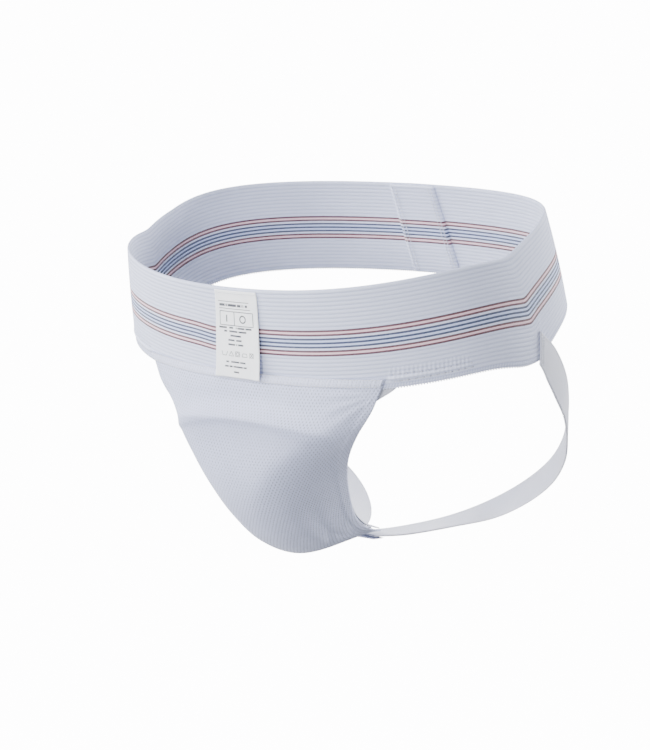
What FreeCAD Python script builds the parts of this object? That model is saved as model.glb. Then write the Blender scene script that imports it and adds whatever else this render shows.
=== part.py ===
"""Groin protector: a wide elastic waistband, a mesh pouch with a hard cup inside, and two leg straps.

Units are millimetres. +Z is up, +X is the wearer's left, and the wearer faces -Y. The origin is the
centre of the waist, level with the top edge of the waistband at the front.
"""
import FreeCAD, Part
import math
import os

Vector = FreeCAD.Vector

# Waist that the band is worn on: a rounded oval that changes with height below the band's top edge
BAND_WIDTH = 75.0
OVAL_POWER = 2.25
HALF_WIDTH = (177.0, 7.6, -6.4)      # constant, linear and square term, per band width below the top
FRONT_DEPTH = (128.5, -20.8)         # constant and linear term
BACK_DEPTH = (130.4, 39.4)
FRONT_RISE = (23.8, -5.8)            # square and fourth-power term of the top edge's rise towards the hips
HIP_ANGLE = math.radians(79.2)       # where the leg strap pulls a soft crease into the band
BACK_SLOPE = 0.65                    # how steeply the band climbs behind the crease
BACK_FADE = 60.0                     # length over which that climb levels out
SLOPE_STEP = 6.0                     # half the length over which the front edge's slope is measured
MITRE = 0.297                        # lean of the crease line: tangent of half the change of slope
MITRE_REACH = 30.0
CREASE_SOFT = (1.8, 0.5, 14.0)       # rounding at the top edge, lower down, and the length of its fade
STRAP_PULL = 3.0                     # how far the strap stretches the band's lower edge down
STRAP_PULL_REACH = 24.0
STRAP_PULL_SHIFT = 10.0              # from the crease back to the middle of that stretch
BACK_STRETCH = 0.11                  # how much wider the band is pulled just behind the crease
BACK_STRETCH_REACH = 60.0
BACK_PULL = 7.5                      # further stretch of the lower edge, just behind the crease
BACK_PULL_REACH = 45.0

# Cloth and elastic
BAND_THICKNESS = 1.6
MESH_THICKNESS = 0.9
LINING_THICKNESS = 0.8
ELASTIC_THICKNESS = 1.0
STRAP_WIDTH = 25.4
STRAP_THICKNESS = 1.3
END_SETTLE = 0.14                    # share of a strap along which its slanted end turns square
LABEL_THICKNESS = 0.4
THREAD_WIDTH = 0.8
THREAD_THICKNESS = 0.4
GAP = 0.3                            # air between neighbouring layers
LAP_HALF_LENGTH = 23.0               # half the length of the band's join at the centre back
LAP_SEAMS = (-20.0, -17.0, 17.0, 20.0)
SEAM_INSET = 2.0                     # from a seam's end to the edge of the cloth

# Pouch sections from the top hem to the base:
# centre y, centre z, edge x, edge y, edge z, squareness of the section, bulge past the edge
POUCH_SECTIONS = (
    (-111.9, -64.0, 110.5, -95.1, -60.5, 2.2, 0.0),
    (-117.0, -88.0, 99.5, -94.6, -84.0, 3.0, 0.0),
    (-126.0, -110.0, 82.0, -89.0, -106.0, 4.6, 3.0),
    (-131.0, -132.0, 65.0, -76.0, -126.0, 4.0, 3.5),
    (-127.0, -154.0, 52.0, -60.0, -145.0, 3.3, 3.5),
    (-113.5, -176.0, 42.0, -43.0, -164.0, 2.8, 3.5),
    (-91.0, -196.5, 34.0, -26.0, -182.0, 2.5, 3.0),
    (-58.0, -211.0, 29.0, -8.0, -194.0, 2.2, 2.0),
    (-20.0, -212.0, 26.0, 8.0, -201.0, 2.0, 0.0),
    (16.0, -206.0, 25.0, 20.0, -204.6, 2.0, 0.0),
)
BULGE_PEAK = 1.87                    # makes u(1 - u^4) reach one
HEM_END = 0.030                      # share of the pouch's length under the top tape
TAPE_EDGE = 0.985                    # share of the pouch's half width that the top tape covers
TAPE_LIFT = 0.1
TAPE_THICKNESS = 0.5
TOP_SEAMS = (0.004, 0.026)           # share of the pouch's length down to each seam line
TOP_SEAM_END = 0.95
LINING_TOP = 0.2                     # share of the pouch's length above the pocket's mouth
LINING_END = 0.99
LINING_SIDE = 0.95                   # share of the pouch's half width that the lining spans
LINING_LIFT = Vector(0, 0.6, 0.8)    # direction from the pouch's edges towards the wearer
LINING_RISE = (1.6, 2.0)             # lift at the lining's edges, and more in its middle
MOUTH_END = 0.2346                   # lower edge of the elastic along the pocket's mouth
MOUTH_SIDE = 0.97
ELASTIC_WIDTH = 7.0
LEG_EDGE = 0.94                      # where the leg elastic lies, as a share of the half width
LEG_EDGE_ENDS = (0.9, 0.085)
LEG_EDGE_GAP = 0.7                   # air between the mesh and the elastic inside its edge
LEG_TAIL = ((101.5, 76), (111, 70.2), (123, 68), (142, 68.2), (163, 68.4))   # its tail: arc, and depth
TAIL_GAP = 0.9
TUCK_ARCS = (107.0, 165.0)           # two converging seams that hold the tail
TUCK_SEAMS = ((65.6, 66.8), (70.6, 70.0))

# Cup: an open dome on a sloping rim plane
CUP_ORIGIN = Vector(0, -76, -126)
CUP_DOWN = Vector(0, 0.656, -0.755)  # along the rim plane, towards the base
CUP_OUT = Vector(0, -0.755, -0.656)  # from the wearer towards the front
CUP_CENTRE = 20.0                    # centre of the rim along CUP_DOWN
CUP_HALF_LENGTH = 64.0
CUP_HALF_WIDTH = 70.0
CUP_TAPER = 0.38
CUP_CORNER = 0.4
RIM_LEVEL = 8.0
CUP_DEPTH = 44.0
CUP_WALL = 3.0
DOME_END = (3.0, 0.5)                # shape powers of the dome at its top and base
DOME_SIDE = (2.4, 0.62)              # and at its sides, where the pouch is narrower
CENTRE_VENT = 0.07                   # radius of the middle vent as a share of the cup's outline
VENT_RADIUS = 2.4
VENT_RINGS = ((0.34, 6), (0.6, 10))  # share of the outline, and vents in that ring
CORNER_CROWD = 0.42                  # sets the outline's points closer round its corners
GASKET_LEVELS = (2.4, 7.7)
GASKET_REACH = (-3.4, 2.6)           # inside and outside the cup's edge

# Label
LABEL_ARC = 19.3
LABEL_TOP = 2.0
LABEL_FOLD = 6.0                     # below the label's sewn strip
LABEL_BOTTOM = 67.5
FOLD_ROOM = 0.8                      # from the fold line to the loose part
LABEL_SKEW = 8.0                     # how far its loose end hangs to one side
LABEL_HANG = 4.2                     # how far its loose end stands off the band
LABEL_CURVE = 1.5
LABEL_SEAM = 4.0

# Leg strap: depth and height of its centre line on the hip, then free points round the buttock
STRAP_HIP = ((1, -43), (18, -57), (36, -75))
STRAP_SEAT = ((170.4, 54, -94), (158.8, 75.5, -115), (145, 94.5, -137), (126, 107, -159),
              (100, 112, -179.5), (72, 106, -196), (46, 84, -205.5), (24, 50, -209.6), (13.2, 17, -207.2))
SEAT_NORMALS = ((0.915, 0.4, 0), (0.83, 0.555, -0.05), (0.74, 0.65, -0.15), (0.6, 0.72, -0.3),
                (0.42, 0.72, -0.5), (0.25, 0.6, -0.72), (0.1, 0.25, -0.95), (0, 0, -1), (0, -0.15, -1))
TACK_SHARES = (0.006, 0.02)          # rows of thread across the sewn end of a strap
TACK_HALF_LENGTH = 11.0

# Base tape, under the strap ends
BASE_LEVEL = -209.9
BASE_SLOPE = 0.12
BASE_MIDDLE = 17.0                   # depth at which the tape is at its level
BASE_HALF_LENGTH = 26.0
BASE_DEPTHS = (9.5, 23.0)
BASE_THICKNESS = 0.8
BASE_SEAMS = (12.0, 20.5)


# ---------------------------------------------------------------- curves
def along(points, share):
    """Point at a share of the smooth curve through the points (numbers or tuples of numbers)."""
    last = len(points) - 1
    place = min(max(share, 0.0), 1.0) * last
    index = min(int(place), last - 1)
    rest = place - index

    def control(k):
        if k < 0:
            return [2 * a - b for a, b in zip(points[0], points[1])]
        if k > last:
            return [2 * a - b for a, b in zip(points[last], points[last - 1])]
        return points[k]

    four = [control(index + k) for k in (-1, 0, 1, 2)]
    result = []
    for a, b, c, d in zip(*four):
        square = 2 * a - 5 * b + 4 * c - d
        cube = 3 * b - a - 3 * c + d
        result.append(b + 0.5 * rest * ((c - a) + rest * (square + rest * cube)))
    return result


def steps(start, end, count):
    return [start + (end - start) * i / (count - 1) for i in range(count)]


def signed_power(value, power):
    return math.copysign(abs(value) ** power, value)


# ---------------------------------------------------------------- solids from grids of points
def knots(count, degree, closed):
    if closed:
        return list(range(count + 1)), [1] * (count + 1)
    values = list(range(count - degree + 1))
    return values, [degree + 1] + [1] * (len(values) - 2) + [degree + 1]


def patch(poles, closed):
    """Smooth face over a grid of control points, closed along the first direction if asked."""
    degree_u = min(3, len(poles) - 1)
    degree_v = min(3, len(poles[0]) - 1)
    u_values, u_counts = knots(len(poles), degree_u, closed)
    v_values, v_counts = knots(len(poles[0]), degree_v, False)
    surface = Part.BSplineSurface()
    surface.buildFromPolesMultsKnots(poles, u_counts, v_counts, u_values, v_values, closed, False,
                                     degree_u, degree_v)
    return surface.toShape()


def slab(outer, inner, closed=False):
    """Solid between two grids of control points of the same size."""
    faces = [patch(outer, closed), patch(inner, closed)]
    for side in (0, -1):
        faces.append(patch([[a[side], b[side]] for a, b in zip(outer, inner)], closed))
    if not closed:
        for end in (0, -1):
            faces.append(patch([[a, b] for a, b in zip(outer[end], inner[end])], False))
    skin = Part.makeCompound(faces)
    skin.sewShape()
    solid = Part.Solid(skin.Shells[0])
    if solid.Volume < 0:
        solid.reverse()
    return solid


def offset_slab(surface, firsts, seconds, start, thickness, closed=False):
    """Solid on a surface function, from start to start + thickness along its normal."""
    grids = ([], [])
    for a in firsts:
        for grid in grids:
            grid.append([])
        for b in seconds:
            point, normal = surface(a, b)
            grids[0][-1].append(point + normal * (start + thickness))
            grids[1][-1].append(point + normal * start)
    return slab(grids[0], grids[1], closed)


def with_normal(place, a, b, step_a, step_b, flip):
    """Point of a two-value function, with its unit normal found from small steps."""
    across = place(a + step_a, b) - place(a - step_a, b)
    down = place(a, b + step_b) - place(a, b - step_b)
    normal = across.cross(down) * flip
    normal.normalize()
    return place(a, b), normal


def ribbon(centres, normals, width, start, thickness, rows, columns=5, end_line=None):
    """Flat strip along a smooth curve, with given outward directions.

    end_line is the direction of the first end where it is not square to the strip.
    """
    grids = ([], [])
    for share in steps(0, 1, rows):
        centre = Vector(*along(centres, share))
        tangent = Vector(*along(centres, share + 0.01)) - Vector(*along(centres, share - 0.01))
        tangent.normalize()
        normal = Vector(*along(normals, share))
        normal = normal - tangent * normal.dot(tangent)
        normal.normalize()
        across = tangent.cross(normal)
        if end_line and share < END_SETTLE:
            square = share / END_SETTLE
            side = math.copysign(1, across.dot(end_line))
            across = across * square + end_line * (side * (1 - square))
            across.normalize()
        row = [centre + across * (width * k) for k in steps(-0.5, 0.5, columns)]
        grids[0].append([point + normal * (start + thickness) for point in row])
        grids[1].append([point + normal * start for point in row])
    return slab(grids[0], grids[1])


# ---------------------------------------------------------------- waist and band
def oval(angle, z):
    """Point of the worn waist at an angle from the front and a height."""
    u = -z / BAND_WIDTH
    half = HALF_WIDTH[0] + HALF_WIDTH[1] * u + HALF_WIDTH[2] * u * u
    depth = FRONT_DEPTH if math.cos(angle) > 0 else BACK_DEPTH
    reach = depth[0] + depth[1] * u
    x = half * signed_power(math.sin(angle), 2 / OVAL_POWER)
    y = -reach * signed_power(math.cos(angle), 2 / OVAL_POWER)
    return Vector(x, y, z)


def arc_table():
    """Angles round the waist and the arc length from the front to each."""
    angles = steps(0, math.pi, 361)
    lengths = [0.0]
    for a, b in zip(angles, angles[1:]):
        lengths.append(lengths[-1] + (oval(b, 0) - oval(a, 0)).Length)
    return angles, lengths


ANGLES, ARCS = arc_table()
HALF_WAIST = ARCS[-1]


def lookup(value, source, target):
    """Straight-line reading of one table from another, odd about zero."""
    size = min(abs(value), source[-1])
    low, high = 0, len(source) - 1
    while high - low > 1:
        middle = (low + high) // 2
        if source[middle] <= size:
            low = middle
        else:
            high = middle
    share = (size - source[low]) / (source[high] - source[low])
    return math.copysign(target[low] + (target[high] - target[low]) * share, value)


HIP_ARC = lookup(HIP_ANGLE, ANGLES, ARCS)


def front_edge(arc):
    """Height of the band's top edge from the front to the hip, level behind it."""
    angle = min(lookup(abs(arc), ARCS, ANGLES), HIP_ANGLE)
    return FRONT_RISE[0] * angle ** 2 + FRONT_RISE[1] * angle ** 4


def back_edge(arc):
    """Height and slope of the top edge's climb behind the hip, straight on in front of it."""
    behind = abs(arc) - HIP_ARC
    if behind < 0:
        return front_edge(HIP_ARC) + BACK_SLOPE * behind, BACK_SLOPE
    fade = math.exp(-behind / BACK_FADE)
    return front_edge(HIP_ARC) + BACK_SLOPE * BACK_FADE * (1 - fade), BACK_SLOPE * fade


def hump(distance, reach):
    return math.exp(-(distance / reach) ** 2)


def band_place(arc, s):
    """Point of the band's outer face: arc length round the waist, distance below the top edge.

    The band runs straight up to the crease at the hip and straight on behind it, so that the lines
    along it turn sharply there, while the free top edge is rounded.
    """
    slope = (front_edge(arc + SLOPE_STEP) - front_edge(arc - SLOPE_STEP)) / (2 * SLOPE_STEP)
    lean = MITRE * hump(abs(arc) - HIP_ARC, MITRE_REACH)
    shifted = arc + s * (math.sin(math.atan(slope)) + math.copysign(lean, arc))
    behind = abs(shifted) - HIP_ARC
    low = (max(s, 0) / BAND_WIDTH) ** 4
    pull = STRAP_PULL * low * hump(behind - STRAP_PULL_SHIFT, STRAP_PULL_REACH)
    front = front_edge(shifted) - s * math.hypot(1, slope) - pull
    climb, back_slope = back_edge(shifted)
    stretched = s * (1 + BACK_STRETCH * hump(behind, BACK_STRETCH_REACH))
    dip = BACK_PULL * low * hump(behind, BACK_PULL_REACH)
    back = climb - stretched * math.hypot(1, back_slope) - dip
    soft = CREASE_SOFT[1] + (CREASE_SOFT[0] - CREASE_SOFT[1]) * math.exp(-max(s, 0) / CREASE_SOFT[2])
    z = (front + back) / 2 + math.hypot((front - back) / 2, soft)
    return oval(lookup(shifted, ARCS, ANGLES), z)


def band(arc, s):
    return with_normal(band_place, arc, s, 2.0, 2.0, -1)


def make_waistband():
    count = 160
    arcs = [HALF_WAIST * 2 * i / count - HALF_WAIST for i in range(count)]
    return offset_slab(band, arcs, steps(0, BAND_WIDTH, 8), -BAND_THICKNESS, BAND_THICKNESS, True)


def back_place(arc, s):
    """Band face counted from the centre back, towards the wearer's right."""
    place = band_place(HALF_WAIST - abs(arc), s)
    return Vector(-math.copysign(place.x, arc), place.y, place.z)


def back_band(arc, s):
    return with_normal(back_place, arc, s, 2.0, 2.0, -1)


def make_waistband_lap():
    start = -2 * BAND_THICKNESS - GAP
    return offset_slab(back_band, steps(-LAP_HALF_LENGTH, LAP_HALF_LENGTH, 9),
                       steps(1, BAND_WIDTH - 1, 8), start, BAND_THICKNESS)


def thread_row(surface, start, end, lift, count=8):
    """Sewn line between two places of a surface function, as one thin raised thread."""
    centres = []
    normals = []
    for share in steps(0, 1, count):
        point, normal = surface(start[0] + (end[0] - start[0]) * share,
                                start[1] + (end[1] - start[1]) * share)
        centres.append(tuple(point))
        normals.append(tuple(normal))
    return ribbon(centres, normals, THREAD_WIDTH, lift, THREAD_THICKNESS, 3 * count, 2)


def make_lap_stitches():
    rows = []
    for arc in LAP_SEAMS:
        rows.append(thread_row(back_band, (arc, SEAM_INSET), (arc, BAND_WIDTH - SEAM_INSET), GAP / 2))
    return Part.makeCompound(rows)


# ---------------------------------------------------------------- pouch
def pouch_place(u, v):
    """Point of the pouch's outer face: u from edge to edge (-1 to 1), v from hem to base (0 to 1)."""
    centre_y, centre_z, edge_x, edge_y, edge_z, power, bulge = along(POUCH_SECTIONS, v)
    share = abs(u) ** power
    x = edge_x * u + BULGE_PEAK * bulge * u * (1 - u ** 4)
    return Vector(x, centre_y + (edge_y - centre_y) * share, centre_z + (edge_z - centre_z) * share)


def pouch(u, v):
    return with_normal(pouch_place, u, v, 0.01, 0.004, -1)


def make_pouch_front():
    return offset_slab(pouch, steps(-1, 1, 37), steps(0, 1, 32), -MESH_THICKNESS, MESH_THICKNESS)


def make_pouch_top_tape():
    return offset_slab(pouch, steps(-TAPE_EDGE, TAPE_EDGE, 21), steps(0.001, HEM_END, 4), TAPE_LIFT,
                       TAPE_THICKNESS)


def make_pouch_top_stitches():
    lift = TAPE_LIFT + TAPE_THICKNESS + GAP / 3
    rows = [thread_row(pouch, (-TOP_SEAM_END, v), (TOP_SEAM_END, v), lift, 24) for v in TOP_SEAMS]
    return Part.makeCompound(rows)


def lining_place(u, v):
    """Point of the lining's face on the cup's side."""
    _, _, edge_x, edge_y, edge_z, _, _ = along(POUCH_SECTIONS, v)
    edge = Vector(LINING_SIDE * edge_x * u, edge_y, edge_z)
    return edge + LINING_LIFT * (LINING_RISE[0] + LINING_RISE[1] * (1 - u * u))


def lining(u, v):
    return with_normal(lining_place, u, v, 0.01, 0.004, -1)


def make_pouch_lining():
    return offset_slab(lining, steps(-1, 1, 21), steps(LINING_TOP, LINING_END, 24),
                       -LINING_THICKNESS, LINING_THICKNESS)


def make_pocket_mouth_elastic():
    start = -LINING_THICKNESS - GAP - ELASTIC_THICKNESS
    return offset_slab(lining, steps(-MOUTH_SIDE, MOUTH_SIDE, 19), steps(LINING_TOP, MOUTH_END, 4),
                       start, ELASTIC_THICKNESS)


def make_leg_elastic(side):
    """Elastic inside the pouch's leg edge, with a tail that runs outwards behind the band."""
    centres = []
    normals = []
    for v in steps(*LEG_EDGE_ENDS, 13):
        point, normal = pouch(side * LEG_EDGE, v)
        centres.append(tuple(point - normal * (MESH_THICKNESS + LEG_EDGE_GAP)))
        normals.append(tuple(-normal))
    for arc, s in LEG_TAIL:
        point, normal = band(side * arc, s)
        centres.append(tuple(point - normal * (BAND_THICKNESS + TAIL_GAP)))
        normals.append(tuple(-normal))
    return ribbon(centres, normals, ELASTIC_WIDTH, 0, ELASTIC_THICKNESS, 48, 4)


def make_tuck_stitches(side):
    rows = []
    for start, end in TUCK_SEAMS:
        rows.append(thread_row(band, (side * TUCK_ARCS[0], start), (side * TUCK_ARCS[1], end), GAP / 2))
    return Part.makeCompound(rows)


# ---------------------------------------------------------------- leg straps
def hip_point(y, z):
    """Point of the worn hip at a depth and height, with its outward direction, on the +X side."""
    u = -z / BAND_WIDTH
    half = HALF_WIDTH[0] + HALF_WIDTH[1] * u + HALF_WIDTH[2] * u * u
    reach = BACK_DEPTH[0] + BACK_DEPTH[1] * u
    share = (abs(y) / reach) ** OVAL_POWER
    x = half * (1 - share) ** (1 / OVAL_POWER)
    slope = half / reach * (abs(y) / reach) ** (OVAL_POWER - 1)
    return (x, y, z), (1.0, slope, 0.0)


def strap_line(side):
    """Centre points and outward directions of a strap, from the hip to the pouch's base."""
    centres = []
    normals = []
    for y, z in STRAP_HIP:
        point, normal = hip_point(y, z)
        centres.append((side * point[0], point[1], point[2]))
        normals.append((side * normal[0], normal[1], normal[2]))
    for point, normal in zip(STRAP_SEAT, SEAT_NORMALS):
        centres.append((side * point[0], point[1], point[2]))
        normals.append((side * normal[0], normal[1], normal[2]))
    return centres, normals


def make_leg_strap(side):
    centres, normals = strap_line(side)
    return ribbon(centres, normals, STRAP_WIDTH, 2 * GAP, STRAP_THICKNESS, 60, end_line=Vector(0, 0, 1))


def make_strap_tack(side):
    """Upright rows of thread across the sewn end of a strap."""
    centres, normals = strap_line(side)
    lift = 2 * GAP + STRAP_THICKNESS + GAP / 2
    rows = []
    for share in TACK_SHARES:
        x, y, z = along(centres, share)
        normal = tuple(along(normals, share))
        line = [(x, y, z + k) for k in steps(-TACK_HALF_LENGTH, TACK_HALF_LENGTH, 4)]
        rows.append(ribbon(line, [normal] * 4, THREAD_WIDTH, lift, THREAD_THICKNESS, 6, 2))
    return Part.makeCompound(rows)


def base_place(x, y):
    """Level of the base tape, just under the strap ends."""
    return Vector(x, y, BASE_LEVEL + BASE_SLOPE * (BASE_MIDDLE - y))


def base(x, y):
    return with_normal(base_place, x, y, 1.0, 1.0, -1)


def make_base_tape():
    return offset_slab(base, steps(-BASE_HALF_LENGTH, BASE_HALF_LENGTH, 7), steps(*BASE_DEPTHS, 4), 0,
                       BASE_THICKNESS)


def make_base_stitches():
    end = BASE_HALF_LENGTH - SEAM_INSET
    rows = [thread_row(base, (-end, y), (end, y), BASE_THICKNESS + GAP / 2) for y in BASE_SEAMS]
    return Part.makeCompound(rows)


# ---------------------------------------------------------------- cup
def outline(turn):
    """Rim outline of the cup at an angle from its top: sideways and along CUP_DOWN."""
    wide = CUP_HALF_WIDTH * signed_power(math.sin(turn), CUP_CORNER)
    wide *= 1 - CUP_TAPER + CUP_TAPER * math.cos(turn)
    return wide, -CUP_HALF_LENGTH * math.cos(turn)


def cup_point(x, down, out):
    return CUP_ORIGIN + Vector(x, 0, 0) + CUP_DOWN * (CUP_CENTRE + down) + CUP_OUT * out


def dome(turn, share):
    """Height of the dome, from 1 in its middle to 0 at the rim."""
    side = abs(math.sin(turn))
    inner_power = DOME_END[0] + (DOME_SIDE[0] - DOME_END[0]) * side
    outer_power = DOME_END[1] + (DOME_SIDE[1] - DOME_END[1]) * side
    return max(1 - share ** inner_power, 0.0) ** outer_power


def cup_place(turn, share, depth, scale=1.0):
    """Point of a dome over the rim: angle from the top, share of the way out, dome height, size."""
    wide, down = outline(turn)
    reach = share * scale
    return cup_point(wide * reach, down * reach, RIM_LEVEL + depth * dome(turn, share))


def turns(count):
    """Angles round the rim, set closer where the outline's corners are."""
    result = []
    for i in range(count):
        even = 2 * math.pi * i / count
        result.append(even - CORNER_CROWD * math.sin(2 * even))
    return result


def make_cup_shell():
    shares = [math.sin(a) for a in steps(math.asin(CENTRE_VENT), math.pi / 2, 12)]
    outer = []
    inner = []
    for turn in turns(56):
        thinner = 1 - CUP_WALL / math.hypot(*outline(turn))
        outer.append([cup_place(turn, share, CUP_DEPTH) for share in shares])
        row = [cup_place(turn, shares[0], CUP_DEPTH - CUP_WALL)]
        for share in shares[1:]:
            row.append(cup_place(turn, share, CUP_DEPTH - CUP_WALL, thinner))
        inner.append(row)
    shell = slab(outer, inner, True)
    for share, count in VENT_RINGS:
        for i in range(count):
            wide, down = outline(2 * math.pi * (i + 0.5) / count)
            foot = cup_point(wide * share, down * share, 0)
            shell = shell.cut(Part.makeCylinder(VENT_RADIUS, 90, foot, CUP_OUT))
    return shell


def make_cup_gasket():
    """Soft ring on the wearer's side of the cup's rim."""
    corners = ((0, 0), (1, 0), (1, 1), (0, 1))
    rails = []
    for side, level in corners:
        rail = []
        for turn in turns(56):
            wide, down = outline(turn)
            grow = 1 + GASKET_REACH[side] / math.hypot(wide, down)
            rail.append(cup_point(wide * grow, down * grow, GASKET_LEVELS[level]))
        rails.append(rail)
    faces = []
    for i in range(4):
        faces.append(patch([list(pair) for pair in zip(rails[i], rails[(i + 1) % 4])], True))
    skin = Part.makeCompound(faces)
    skin.sewShape()
    solid = Part.Solid(skin.Shells[0])
    if solid.Volume < 0:
        solid.reverse()
    return solid


# ---------------------------------------------------------------- label
def loose_place(x, s):
    """Face of the loose label: distance from its middle, and from the band's top edge."""
    share = max(s - LABEL_FOLD, 0) / (LABEL_BOTTOM - LABEL_FOLD)
    point, normal = band(x - LABEL_SKEW * share, s)
    return point + normal * (2 * GAP + LABEL_HANG * share ** LABEL_CURVE)


def loose(x, s):
    return with_normal(loose_place, x, s, 1.0, 0.5, -1)


def make_care_label():
    return offset_slab(loose, steps(-LABEL_ARC, LABEL_ARC, 7),
                       steps(LABEL_FOLD + FOLD_ROOM, LABEL_BOTTOM, 8), 0, LABEL_THICKNESS)


def make_label_hem():
    return offset_slab(band, steps(-LABEL_ARC, LABEL_ARC, 7), steps(LABEL_TOP, LABEL_FOLD, 4),
                       GAP, LABEL_THICKNESS)


def make_label_stitches():
    end = LABEL_ARC - 1
    return thread_row(band, (-end, LABEL_SEAM), (end, LABEL_SEAM), GAP + LABEL_THICKNESS + GAP / 3)


# ---------------------------------------------------------------- all pieces
def main():
    pieces = {
        "waistband": make_waistband(),
        "waistband_lap": make_waistband_lap(),
        "lap_stitches": make_lap_stitches(),
        "pouch_front": make_pouch_front(),
        "pouch_top_tape": make_pouch_top_tape(),
        "pouch_top_stitches": make_pouch_top_stitches(),
        "pouch_lining": make_pouch_lining(),
        "pocket_mouth_elastic": make_pocket_mouth_elastic(),
        "base_tape": make_base_tape(),
        "base_stitches": make_base_stitches(),
        "cup_shell": make_cup_shell(),
        "cup_gasket": make_cup_gasket(),
        "care_label": make_care_label(),
        "label_hem": make_label_hem(),
        "label_stitches": make_label_stitches(),
    }
    for name, side in (("left", 1), ("right", -1)):
        pieces["leg_elastic_" + name] = make_leg_elastic(side)
        pieces["tuck_stitches_" + name] = make_tuck_stitches(side)
        pieces["leg_strap_" + name] = make_leg_strap(side)
        pieces["strap_tack_" + name] = make_strap_tack(side)
    os.makedirs("parts", exist_ok=True)
    for name, shape in pieces.items():
        shape.exportStep("parts/" + name + ".step")
        print(name, shape.isValid(), round(shape.Volume, 1), len(shape.Solids))


main()
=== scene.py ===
"""Looks of the groin protector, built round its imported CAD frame.

Shape functions work in millimetres, in the CAD's own frame. Meshes are written in metres.
"""
import bpy
import math
import numpy as np
from mathutils import Matrix, Vector


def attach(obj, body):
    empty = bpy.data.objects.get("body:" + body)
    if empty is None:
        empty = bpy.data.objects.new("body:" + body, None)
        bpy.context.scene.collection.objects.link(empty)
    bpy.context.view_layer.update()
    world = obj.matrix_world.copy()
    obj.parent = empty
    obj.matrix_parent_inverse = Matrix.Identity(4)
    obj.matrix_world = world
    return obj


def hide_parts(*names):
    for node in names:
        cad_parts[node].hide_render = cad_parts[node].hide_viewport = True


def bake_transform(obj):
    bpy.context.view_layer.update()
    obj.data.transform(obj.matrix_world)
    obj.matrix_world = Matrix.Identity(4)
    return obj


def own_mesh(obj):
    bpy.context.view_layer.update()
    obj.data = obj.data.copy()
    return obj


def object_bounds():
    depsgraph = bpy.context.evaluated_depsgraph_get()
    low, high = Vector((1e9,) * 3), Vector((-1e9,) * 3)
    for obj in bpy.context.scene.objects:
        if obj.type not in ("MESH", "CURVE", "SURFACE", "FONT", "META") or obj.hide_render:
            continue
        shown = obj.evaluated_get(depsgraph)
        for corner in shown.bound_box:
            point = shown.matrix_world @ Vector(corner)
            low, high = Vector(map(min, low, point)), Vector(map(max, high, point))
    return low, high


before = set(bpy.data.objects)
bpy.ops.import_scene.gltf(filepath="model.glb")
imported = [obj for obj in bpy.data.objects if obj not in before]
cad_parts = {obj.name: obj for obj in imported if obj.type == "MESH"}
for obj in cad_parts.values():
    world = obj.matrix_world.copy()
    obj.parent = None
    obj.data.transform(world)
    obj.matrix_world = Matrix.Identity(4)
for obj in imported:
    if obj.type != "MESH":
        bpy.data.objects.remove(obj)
CAD_BOX = [list(corner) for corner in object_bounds()]

MM = 0.001
RANDOM = np.random.default_rng(7)

# Waist, as in the CAD model
BAND_WIDTH = 75.0
OVAL_POWER = 2.25
HALF_WIDTH = (177.0, 7.6, -6.4)
FRONT_DEPTH = (128.5, -20.8)
BACK_DEPTH = (130.4, 39.4)
FRONT_RISE = (23.8, -5.8)
HIP_ANGLE = math.radians(79.2)
BACK_SLOPE = 0.65
BACK_FADE = 60.0
SLOPE_STEP = 6.0
MITRE = 0.297
MITRE_REACH = 30.0
CREASE_SOFT = (1.8, 0.5, 14.0)
STRAP_PULL = 3.0
STRAP_PULL_REACH = 24.0
STRAP_PULL_SHIFT = 10.0
BACK_STRETCH = 0.11
BACK_STRETCH_REACH = 60.0
BACK_PULL = 7.5
BACK_PULL_REACH = 45.0
BAND_THICKNESS = 1.6

# Woven pattern of the band
RIB_PITCH = 3.0
RIB_COUNT = 25
RIB_HEIGHT = 0.16
STRIPE_START = 30.0
STRIPE_LINES = 7
LABEL_SAG = (2.0, -24.0, 15.0)

# Sewn tucks of the band
NEEDLE_PITCH = 5.2
SEAM_DEPTH = 1.25
PUFF_HEIGHT = 1.25
GATHER_PITCH = 3.1
HOLE_REACH = 0.9
LOOP_DEPTH = 3.2
LOOP_PITCH = 2.0

# Pouch sections, as in the CAD model
POUCH_SECTIONS = np.array((
    (-111.9, -64.0, 110.5, -95.1, -60.5, 2.2, 0.0),
    (-117.0, -88.0, 99.5, -94.6, -84.0, 3.0, 0.0),
    (-126.0, -110.0, 82.0, -89.0, -106.0, 4.6, 3.0),
    (-131.0, -132.0, 65.0, -76.0, -126.0, 4.0, 3.5),
    (-127.0, -154.0, 52.0, -60.0, -145.0, 3.3, 3.5),
    (-113.5, -176.0, 42.0, -43.0, -164.0, 2.8, 3.5),
    (-91.0, -196.5, 34.0, -26.0, -182.0, 2.5, 3.0),
    (-58.0, -211.0, 29.0, -8.0, -194.0, 2.2, 2.0),
    (-20.0, -212.0, 26.0, 8.0, -201.0, 2.0, 0.0),
    (16.0, -206.0, 25.0, 20.0, -204.6, 2.0, 0.0),
))
SIDE_BULGE = 1.87
POUCH_DROP = 260.0
CORNER_HALF = 90.0
HEM_END = 0.030
TOP_SEAMS = (0.1, 0.88)
LINING_TOP = 0.2
LINING_LIFT = np.array((0.0, 0.6, 0.8))
MESH_THICKNESS = 0.9
MESH_SLANT = 0.62
MOUTH_BAND_WIDTH = 9.0
MOUTH_BAND_LIFT = 1.05
CUP_LINE = (33.5, 0.0017)
CUP_SHADOW = (5.0, 30.0, 92.0)
VENT_PLACES = ((0.41, 0.538), (-0.205, 0.535))
VENT_SPREAD = 50.0
LEG_ELASTIC_WIDTH = 7.0
LEG_EDGE = 0.94
LEG_EDGE_ENDS = (0.9, 0.085)
LEG_EDGE_GAP = 0.7
LEG_TAIL = ((101.5, 76), (111, 70.2), (123, 68), (142, 68.2), (163, 68.4))
TAIL_GAP = 0.9
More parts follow.
